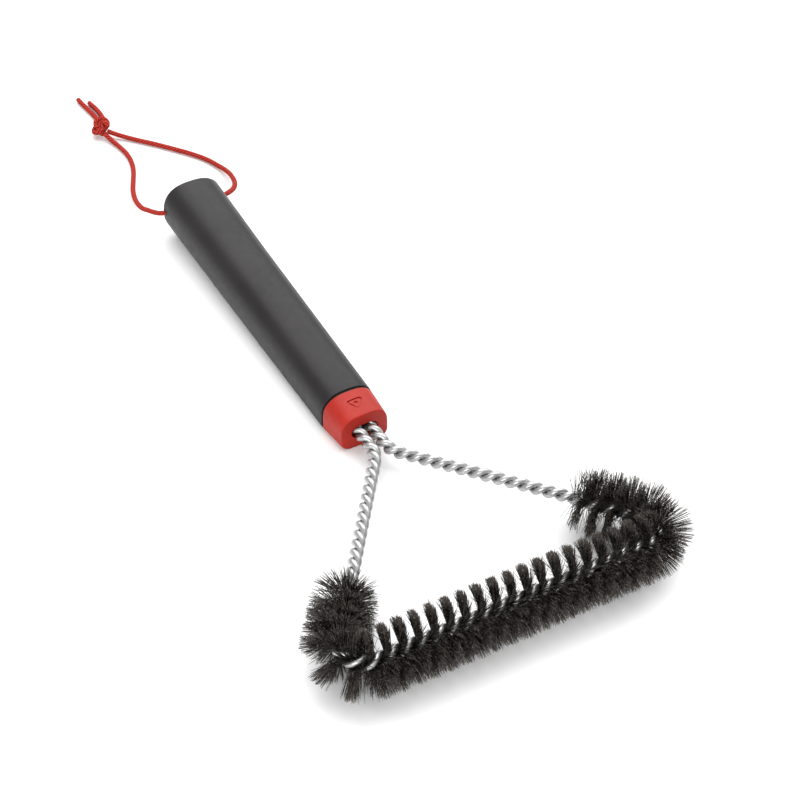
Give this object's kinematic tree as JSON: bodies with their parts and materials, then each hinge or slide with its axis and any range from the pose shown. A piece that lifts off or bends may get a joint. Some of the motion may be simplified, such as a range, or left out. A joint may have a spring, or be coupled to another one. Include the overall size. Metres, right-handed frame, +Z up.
{
  "type": "grill cleaning brush",
  "caption": "Three-sided grill cleaning brush: moulded tapered grip, coloured collar, twisted-wire triangle with wire bristle tufts on its front bar and corners, hanging cord through the grip",
  "frame": {"origin": "on the plane the brush lies on, below the middle of the brush's box without its cord", "axes": "+X from the butt of the grip to the front bar, +Y left when looking along +X, +Z up"},
  "size_m": [0.41, 0.1674, 0.0295],
  "materials": {
    "grip_plastic": "satin dark grey, fine moulded grain",
    "spacer_plastic": "dark grey-green, dull",
    "collar_plastic": "satin red, fine moulded grain",
    "insert_plastic": "plain grey moulding",
    "zinc_steel": "zinc plated",
    "galvanised_wire": "bright galvanised, drawn along the wire",
    "bristle_steel": "dark oiled spring wire",
    "braided_cord": "braided polyester"
  },
  "bodies": {
    "root": {"handle_grip": "grip_plastic", "spacer_ring": "spacer_plastic", "collar": "collar_plastic", "anchor_block": "insert_plastic", "anchor_plate": "zinc_steel", "crimp_sleeve": "zinc_steel", "wire_strand_a": "galvanised_wire", "wire_strand_b": "galvanised_wire", "hang_cord_left": "braided_cord", "hang_cord_right": "braided_cord", "cord_knot": "braided_cord", "cord_end_long": "braided_cord", "cord_end_short": "braided_cord", "tuft_left_15": "bristle_steel", "tuft_left_14": "bristle_steel", "tuft_left_13": "bristle_steel", "tuft_left_12": "bristle_steel", "tuft_left_11": "bristle_steel", "tuft_left_10": "bristle_steel", "tuft_left_9": "bristle_steel", "tuft_left_8": "bristle_steel", "tuft_left_7": "bristle_steel", "tuft_left_6": "bristle_steel", "tuft_left_5": "bristle_steel", "tuft_left_4": "bristle_steel", "tuft_left_3": "bristle_steel", "tuft_left_2": "bristle_steel", "tuft_left_1": "bristle_steel", "tuft_middle_0": "bristle_steel", "tuft_right_1": "bristle_steel", "tuft_right_2": "bristle_steel", "tuft_right_3": "bristle_steel", "tuft_right_4": "bristle_steel", "tuft_right_5": "bristle_steel", "tuft_right_6": "bristle_steel", "tuft_right_7": "bristle_steel", "tuft_right_8": "bristle_steel", "tuft_right_9": "bristle_steel", "tuft_right_10": "bristle_steel", "tuft_right_11": "bristle_steel", "tuft_right_12": "bristle_steel", "tuft_right_13": "bristle_steel", "tuft_right_14": "bristle_steel", "tuft_right_15": "bristle_steel"}
  },
  "joints": []
}
